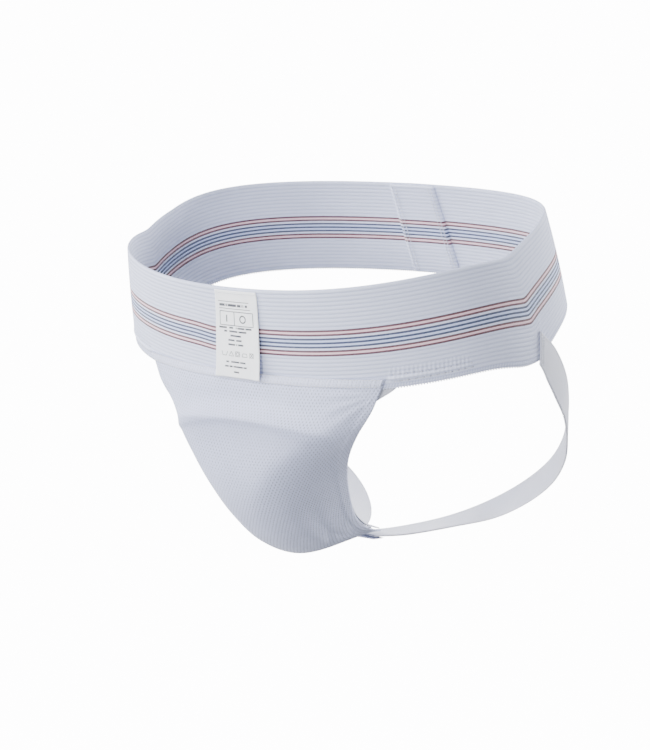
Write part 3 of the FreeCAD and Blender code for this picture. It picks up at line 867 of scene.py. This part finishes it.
# ---- pouch pieces
def pouch_relief(u, v):
    """Hem, seam channels, ridge over the cup's top edge, and soft folds, along the face's normal."""
    hem = 0.45 * smooth_step(0.94, 0.95, np.abs(u)) * smooth_step(0.05, 0.09, v)
    roll = -0.7 * smooth_step(0.992, 1.0, np.abs(u))
    cup_top = 0.153 + 0.11 * u * u
    middle = smooth_step(0.95, 0.55, np.abs(u)) * (1 - 0.45 * smooth_step(0.0, 0.7, u))
    hollow = -3.4 * bump(v - cup_top + 0.055, 0.042) * middle
    below = v - cup_top - 0.008
    ridge = 2.3 * bump(below, np.where(below < 0, 0.026, 0.014)) * middle
    vents = 0
    for place_u, place_v in VENT_PLACES:
        vents = vents - 0.35 * bump(np.hypot((u - place_u) * VENT_SPREAD, (v - place_v) * POUCH_DROP), 2.2)
    pull = np.zeros_like(u)
    for side in (-1, 1):
        inward, below_hem = (1.0 - side * u) * CORNER_HALF, (v - 0.05) * POUCH_DROP
        from_corner = np.hypot(inward, below_hem)
        rays = np.sin(np.arctan2(below_hem, inward) * 13 + side)
        pull += 0.28 * rays * bump(from_corner - 22, 16)
        valley = side * u - 0.855 - 0.35 * (v - 0.55)
        deep = smooth_step(0.46, 0.58, v) * smooth_step(0.82, 0.70, v)
        pull += (-1.3 * bump(valley + 0.06, 0.1) + 0.8 * bump(valley + 0.26, 0.1)) * deep
        second = (v - 0.70) + 0.5 * (side * u - 0.78)
        pull += -0.9 * bump(second, 0.022) * bump(side * u - 0.72, 0.1)
    room = -0.35 - 3.5 * smooth_step(0.84, 0.66, np.abs(u))
    return hem + roll + hollow + ridge + vents + np.maximum(pull, room)


def make_pouch_front():
    u = np.sin(np.linspace(-1, 1, 161) * math.pi / 2 * 0.92) / math.sin(math.pi / 2 * 0.92)
    u_grid, v_grid = grid(u, np.linspace(0, 1, 201))
    points, normals = pouch(u_grid, v_grid)
    middle = len(u) // 2
    across = lengths(points, 0)
    across = across - across[middle][None]
    down = lengths(points, 1)
    down = 0.5 * down + 0.5 * down[middle][None]
    outer = points + normals * pouch_relief(u_grid, v_grid)[..., None]
    inner = outer - normals * (MESH_THICKNESS - 0.1)
    piece = cloth("pouch_mesh_front", outer, inner, np.stack([across, down], -1))
    finish_piece(piece, "root", "pouch_mesh", POUCH_MESH, "pouch_front")
    return piece


def make_top_tape():
    u, v = grid(np.linspace(-0.99, 0.99, 241), np.linspace(-0.002, HEM_END, 19))
    points, normals = pouch(u, v)
    share = v / HEM_END
    from_line = np.minimum(np.abs(share - TOP_SEAMS[0]), np.abs(share - TOP_SEAMS[1]))
    channel = -0.35 * bump(from_line, 0.1)
    along_hem = lengths(points, 0)
    pucker = 0.1 * np.sin(along_hem * 2 * math.pi / 4.4 + 6 * share) * bump(share - 0.5, 0.4)
    edge = -0.35 * (1 - smooth_step(0, 0.08, share)) - 0.45 * smooth_step(0.86, 1.0, share)
    outer = points + normals * (0.68 + channel + pucker + edge)[..., None]
    inner = points + normals * 0.02
    uv = np.stack([along_hem, lengths(points, 1)], -1)
    piece = cloth("pouch_hem_tape", outer, inner, uv)
    return finish_piece(piece, "root", "pouch_tape", TAPE, "pouch_top_tape")


def make_top_stitches():
    rows = []
    for share in TOP_SEAMS:
        line = surface_line(pouch, (-0.97, share * HEM_END), (0.97, share * HEM_END), 200)
        rows.append(thread("row", *line, 2.3, 0.32, 0.42, share=0.66))
    return sew("pouch_hem_thread", rows, "pouch_top_stitches")


def make_lining():
    u, v = grid(np.linspace(-1, 1, 91), np.linspace(LINING_TOP, 0.99, 101))
    points, normals = lining(u, v)
    soft = 0.5 * np.sin(u * 9 + v * 7) * np.sin(v * 21) * (1 - u * u)
    front = points + normals * (0.2 * soft)[..., None]
    back = front - normals * 0.8
    uv = np.stack([lengths(points, 0), lengths(points, 1)], -1)
    piece = cloth("pocket_lining", front, back, uv)
    finish_piece(piece, "root", "lining_cloth", LINING, "pouch_lining")
    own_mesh(piece)
    return piece


def make_mouth_elastic():
    end = LINING_TOP + MOUTH_BAND_WIDTH / POUCH_DROP
    u, v = grid(np.linspace(-0.98, 0.98, 181), np.linspace(LINING_TOP - 0.004, end, 15))
    points, normals = lining(u, v)
    share = (v - LINING_TOP) / (end - LINING_TOP)
    gather = 0.22 * np.sin(lengths(points, 0) * 2 * math.pi / GATHER_PITCH)
    cross = 0.35 * (1 - (2 * share - 1) ** 6)
    outer = points - normals * MOUTH_BAND_LIFT
    inner = points - normals * (MOUTH_BAND_LIFT + 0.65 + cross + gather)[..., None]
    uv = np.stack([lengths(points, 1), lengths(points, 0)], -1)
    piece = cloth("pocket_mouth_band", outer, inner, uv)
    finish_piece(piece, "root", "narrow_elastic", NARROW, "pocket_mouth_elastic")
    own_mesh(piece)
    return piece


def make_leg_elastic(side, name):
    v = np.linspace(*LEG_EDGE_ENDS, 13)
    points, normals = pouch(side * LEG_EDGE + 0 * v, v)
    centres = points - normals * (MESH_THICKNESS + LEG_EDGE_GAP)
    arcs, depths = np.array(LEG_TAIL, float).T
    band_points, band_normals = band(arcs * side, depths)
    centres = np.vstack([centres, band_points - band_normals * (BAND_THICKNESS + TAIL_GAP)])
    inward = np.vstack([-normals, -band_normals])
    width = np.linspace(-0.5, 0.5, 11)
    share, k = grid(np.linspace(0, 1, 221), width)
    centre, across, normal = strip_frame(centres, inward, share[:, 0])
    ribs = 0.12 * np.cos(k * 2 * math.pi * 4)
    body = centre[:, None] + across[:, None] * (k * LEG_ELASTIC_WIDTH)[..., None]
    outer = body + normal[:, None] * (1.0 + ribs)[..., None]
    uv = np.stack([k * LEG_ELASTIC_WIDTH, lengths(body, 0)], -1)
    piece = cloth("leg_edge_elastic_" + name, outer, body, uv)
    return finish_piece(piece, "root", "narrow_elastic", NARROW, "leg_elastic_" + name)


def make_tuck_stitches(side, name):
    rows = []
    for start, end in TUCK_SEAMS:
        line = surface_line(band, (side * TUCK_ARCS[0], start), (side * TUCK_ARCS[1], end))
        rows.append(thread("row", *line, 2.2, 0.32, -0.25, share=0.6))
    return sew("tuck_thread_" + name, rows, "tuck_stitches_" + name)


# ---- straps
def make_leg_strap(side, name):
    points, normals = strap_line(side)
    columns = 27
    k = np.linspace(-0.5, 0.5, columns)
    share = np.linspace(0, 1, 261)
    centre, across, normal = strip_frame(points, normals, share)
    square = smooth_step(0, END_SETTLE, share)[:, None]
    upright = np.array((0.0, 0.0, 1.0)) * np.sign(across[:1, 2:])
    across = unit(across * square + upright * (1 - square))
    from_edge = (0.5 - np.abs(k)) * STRAP_WIDTH
    rolled = 0.35 * bump(from_edge - 0.9, 0.75) - 0.5 * (1 - smooth_step(0, 0.45, from_edge))
    cup = -0.5 * (2 * k) ** 2
    body = centre[:, None] + across[:, None] * (k * STRAP_WIDTH)[None, :, None]
    outer = body + normal[:, None] * (STRAP_LIFT + STRAP_THICKNESS + rolled + cup)[None, :, None]
    inner = body + normal[:, None] * (STRAP_LIFT - 0.6 * rolled + cup)[None, :, None]
    uv = np.stack([np.broadcast_to(k * STRAP_WIDTH, body.shape[:2]), lengths(body, 0)], -1)
    piece = cloth("leg_strap_elastic_" + name, outer, inner, uv)
    return finish_piece(piece, "root", "strap_elastic", STRAP, "leg_strap_" + name)


def make_strap_tack(side, name):
    points, normals = strap_line(side)
    rows = []
    for share in (0.006, 0.02):
        centre = along(points, np.array([share]))[0]
        normal = unit(along(normals, np.array([share]))[0])
        line = centre + np.outer(np.linspace(-11.2, 11.2, 20), (0, 0, 1))
        line = line + normal * (STRAP_LIFT + STRAP_THICKNESS)
        rows.append(thread("row", line, np.tile(normal, (20, 1)), 1.9, 0.32, share=0.7))
    return sew("strap_end_thread_" + name, rows, "strap_tack_" + name)


def base_place(x, y):
    return np.stack([x, y, BASE_LEVEL + BASE_SLOPE * (BASE_MIDDLE - y)], -1)


def base(x, y):
    return with_normals(base_place, x, y, 1.0, 1.0)


def make_base_tape():
    x, y = grid(np.linspace(-BASE_HALF, BASE_HALF, 61), np.linspace(*BASE_DEPTH, 21))
    points, normals = base(x, y)
    front, back = BASE_DEPTH
    edge = np.minimum(BASE_HALF - np.abs(x), np.minimum(y - front, back - y))
    lift = 0.8 - 0.5 * (1 - smooth_step(0, 1.0, edge)) + 0.08 * np.sin(x * 2.4)
    outer = points + normals * lift[..., None]
    piece = cloth("base_cover_tape", outer, points, np.stack([x, y], -1))
    return finish_piece(piece, "root", "pouch_tape", TAPE, "base_tape")


def make_base_stitches():
    rows = []
    for y in BASE_SEAMS:
        line = surface_line(base, (-BASE_SEAM_HALF, y), (BASE_SEAM_HALF, y))
        rows.append(thread("row", *line, 2.2, 0.3, 0.75, share=0.66))
    return sew("base_seam_thread", rows, "base_stitches")


# ---- label
def label_place(x, s):
    share = np.maximum(s - LABEL_FOLD, 0) / (LABEL_BOTTOM - LABEL_FOLD)
    points, normals = band(x - LABEL_SKEW * share, s)
    curl = 0.9 * share ** 4 * (np.abs(x) / LABEL_ARC) ** 3
    return points + normals * (0.6 + LABEL_HANG * share ** 1.5 + curl)[..., None]


def label_face(x, s):
    return with_normals(label_place, x, s, 1.0, 0.5)


def label_ripple(x, s):
    """Faint waves of the loose part of the label."""
    return 0.12 * np.sin(x * 0.35 + s * 0.21) * smooth_step(8, 30, s)


def make_label():
    x, s = grid(np.linspace(-LABEL_ARC, LABEL_ARC, 41), np.linspace(LABEL_TOP, LABEL_BOTTOM, 81))
    points, normals = label_face(x, s)
    ripple = label_ripple(x, s)
    outer = points + normals * (LABEL_FACES[0] + ripple)[..., None]
    inner = points + normals * (LABEL_FACES[1] + ripple)[..., None]
    piece = cloth("care_label_satin", outer, inner, np.stack([x, s], -1))
    finish_piece(piece, None, "label_satin", SATIN, "care_label", "label_hem")
    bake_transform(piece)
    return piece


def make_label_stitches():
    line = surface_line(band, (-LABEL_ARC + 1, 4.0), (LABEL_ARC - 1, 4.0))
    return sew("label_thread", [thread("row", *line, 2.1, 0.26, 0.95, share=0.66)], "label_stitches")


class Printer:
    """Collects thin printed marks that lie on the label's face."""

    def __init__(self):
        self.points = []
        self.faces = []

    def stroke(self, path, width=0.45, closed=False):
        """Line of a given width through (x, s) points."""
        path = np.array(path, float)
        if closed:
            path = np.vstack([path, path[:1]])
        dense = []
        for a, b in zip(path, path[1:]):
            count = max(int(np.linalg.norm(b - a) / 1.5), 1)
            dense.extend(a + (b - a) * i / count for i in range(count))
        dense.append(path[-1])
        dense = np.array(dense)
        direction = unit(np.gradient(dense, axis=0))
        side = np.stack([-direction[:, 1], direction[:, 0]], -1) * width / 2
        rows = np.stack([dense - side, dense + side], 1)
        points, normals = label_face(rows[..., 0], rows[..., 1])
        lift = PRINT_LIFT + label_ripple(rows[..., 0], rows[..., 1])
        points = points + normals * lift[..., None]
        start = sum(len(block) for block in self.points)
        self.points.append(points.reshape(-1, 3))
        for i in range(len(dense) - 1):
            a = start + 2 * i
            self.faces.append((a, a + 1, a + 3, a + 2))

    def circle(self, x, s, radius, width=0.4):
        turn = np.linspace(0, 2 * math.pi, 17)[:-1]
        self.stroke(np.stack([x + radius * np.cos(turn), s + radius * np.sin(turn)], -1), width, True)

    def dashes(self, x, s, total, height, pieces):
        """Row of short blocks that stands for a line of small print."""
        cuts = np.sort(RANDOM.uniform(0, total, pieces - 1))
        ends = np.concatenate([[0], cuts, [total]])
        for a, b in zip(ends, ends[1:]):
            if b - a > 1.2:
                self.stroke([(x - total / 2 + a, s), (x - total / 2 + b - 0.7, s)], height)


def make_label_print():
    marks = Printer()
    marks.stroke([(-16.6, 10.3), (11.6, 10.3)], 0.5)
    marks.stroke([(-16, 15.6), (12.6, 15.6)], 0.5)
    marks.dashes(-2.4, 13.0, 26.5, 1.9, 9)
    marks.stroke([(-15.2, 17.8), (14.6, 17.8), (14.6, 28.2), (-15.2, 28.2)], 0.6, True)
    marks.stroke([(-2.2, 17.8), (-2.2, 28.2)], 0.6)
    marks.stroke([(-9, 20.4), (-9, 25.6)], 1.1)
    marks.circle(5.4, 23.0, 2.6, 1.0)
    for s, total, pieces in ((30.0, 30, 11), (32.7, 21, 6), (35.9, 11, 3), (39.3, 14, 4), (42.6, 14, 4)):
        marks.dashes(-1.2, s, total, 1.3, pieces)
    make_care_marks(marks, 49.5)
    for s, total, pieces in ((55.7, 18, 5), (59.2, 20, 5), (63.2, 6.5, 2)):
        marks.dashes(-1.4, s, total, 1.2, pieces)
    piece = add_mesh("label_print_marks", np.vstack(marks.points), marks.faces)
    return finish_piece(piece, "label", "label_satin", PRINT)


def make_care_marks(marks, s):
    """Tub, triangle, square with a circle, low press shape, and a crossed circle."""
    marks.stroke([(-14.2, s - 1.6), (-13.2, s + 1.6), (-10.0, s + 1.6), (-9.0, s - 1.6)], 0.45)
    marks.stroke([(-5.6, s - 1.8), (-7.7, s + 1.7), (-3.5, s + 1.7)], 0.45, True)
    marks.stroke([(-1.9, s - 1.8), (1.7, s - 1.8), (1.7, s + 1.8), (-1.9, s + 1.8)], 0.45, True)
    marks.circle(-0.1, s, 1.2)
    marks.stroke([(3.9, s + 1.5), (4.8, s - 0.9), (8.1, s - 0.9), (8.5, s + 1.5)], 0.45, True)
    marks.circle(12.4, s, 1.7)
    marks.stroke([(10.6, s - 1.9), (14.2, s + 1.9)], 0.4)
    marks.stroke([(14.2, s - 1.9), (10.6, s + 1.9)], 0.4)


# ---- cup
def dress_node(name, material):
    """Gives a CAD node its finished material."""
    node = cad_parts[name]
    node.data.materials.clear()
    node.data.materials.append(material)


# ---- scene
FLOOR_DROP = 2.0
FLOOR_RADIUS = 24.0
FLOOR_RISE = 9.0
FLOOR_GLOW = 14.0
SKY_STRENGTH = 0.72
LIGHT_TARGET = Vector((0, 0, -0.08))


def make_floor():
    """Wide pale dish: flat under the object, rising gently far away."""
    low = CAD_BOX[0][2] - FLOOR_DROP
    rings, turns = 40, 64
    radius = np.linspace(0, FLOOR_RADIUS, rings + 1)[1:]
    height = low + FLOOR_RISE * smooth_step(0.35 * FLOOR_RADIUS, FLOOR_RADIUS, radius)
    turn = np.linspace(0, 2 * math.pi, turns, endpoint=False)
    points = np.stack([radius[None] * np.cos(turn)[:, None], radius[None] * np.sin(turn)[:, None],
                       np.broadcast_to(height, (turns, rings))], -1)
    faces = quads(turns, rings, 0, True).tolist()
    faces.append([i * rings for i in range(turns)])
    floor = add_mesh("floor", points.reshape(-1, 3) / MM, faces)
    shader = Shader("pale_floor", 0.9)
    shader.colour(rgb(250, 250, 251))
    shader.main.inputs["Emission Color"].default_value = rgb(250, 250, 251)
    shader.main.inputs["Emission Strength"].default_value = FLOOR_GLOW
    floor.data.materials.append(shader.material)
    floor.visible_diffuse = False
    floor.visible_glossy = False


def add_light(name, place, size, power):
    light = bpy.data.lights.new(name, "AREA")
    light.shape = "DISK"
    light.size = size
    light.energy = power
    lamp = bpy.data.objects.new(name, light)
    lamp.location = place
    lamp.rotation_euler = (LIGHT_TARGET - Vector(place)).to_track_quat("-Z", "Y").to_euler()
    bpy.context.scene.collection.objects.link(lamp)


def make_lights():
    world = bpy.data.worlds.new("studio")
    world.use_nodes = True
    background = world.node_tree.nodes["Background"]
    background.inputs["Color"].default_value = (0.94, 0.96, 1.0, 1)
    background.inputs["Strength"].default_value = SKY_STRENGTH
    bpy.context.scene.world = world
    add_light("key", (-2.25, -1.3, 1.1), 1.0, 140)
    add_light("top", (-0.7, -1.5, 2.3), 0.8, 60)
    add_light("front_fill", (0.3, -2.75, 0.2), 1.2, 72)
    add_light("low_fill", (-1.5, -1.9, -1.2), 1.0, 34)
    add_light("back", (0.95, 2.1, 0.9), 1.3, 150)


def make_camera():
    """Long-lens camera to the front and the wearer's left, slightly above the object."""
    level = math.cos(ELEVATION)
    back = Vector((math.sin(AZIMUTH) * level, -math.cos(AZIMUTH) * level, math.sin(ELEVATION)))
    right = Vector((math.cos(AZIMUTH), math.sin(AZIMUTH), 0))
    target = right * AIM[0] + Vector((0, 0, AIM[1]))
    camera = bpy.data.objects.new("camera", bpy.data.cameras.new("camera"))
    camera.data.lens = LENS
    camera.data.sensor_width = 36.0
    up = back.cross(right)
    turn = Matrix((right, up, back)).transposed()
    camera.matrix_world = Matrix.Translation(target + back * DISTANCE) @ turn.to_4x4()
    bpy.context.scene.collection.objects.link(camera)
    bpy.context.scene.camera = camera


# ---- everything
make_camera()
make_lights()
make_floor()
make_waistband()
make_picot()
make_lap()
make_lap_stitches()
make_pouch_front()
make_top_tape()
make_top_stitches()
make_lining()
make_mouth_elastic()
for side, name in ((1, "left"), (-1, "right")):
    make_leg_elastic(side, name)
    make_tuck_stitches(side, name)
    make_leg_strap(side, name)
    make_strap_tack(side, name)
make_base_tape()
make_base_stitches()
make_label()
make_label_stitches()
make_label_print()
dress_node("cup_shell", PLASTIC)
dress_node("cup_gasket", RUBBER)
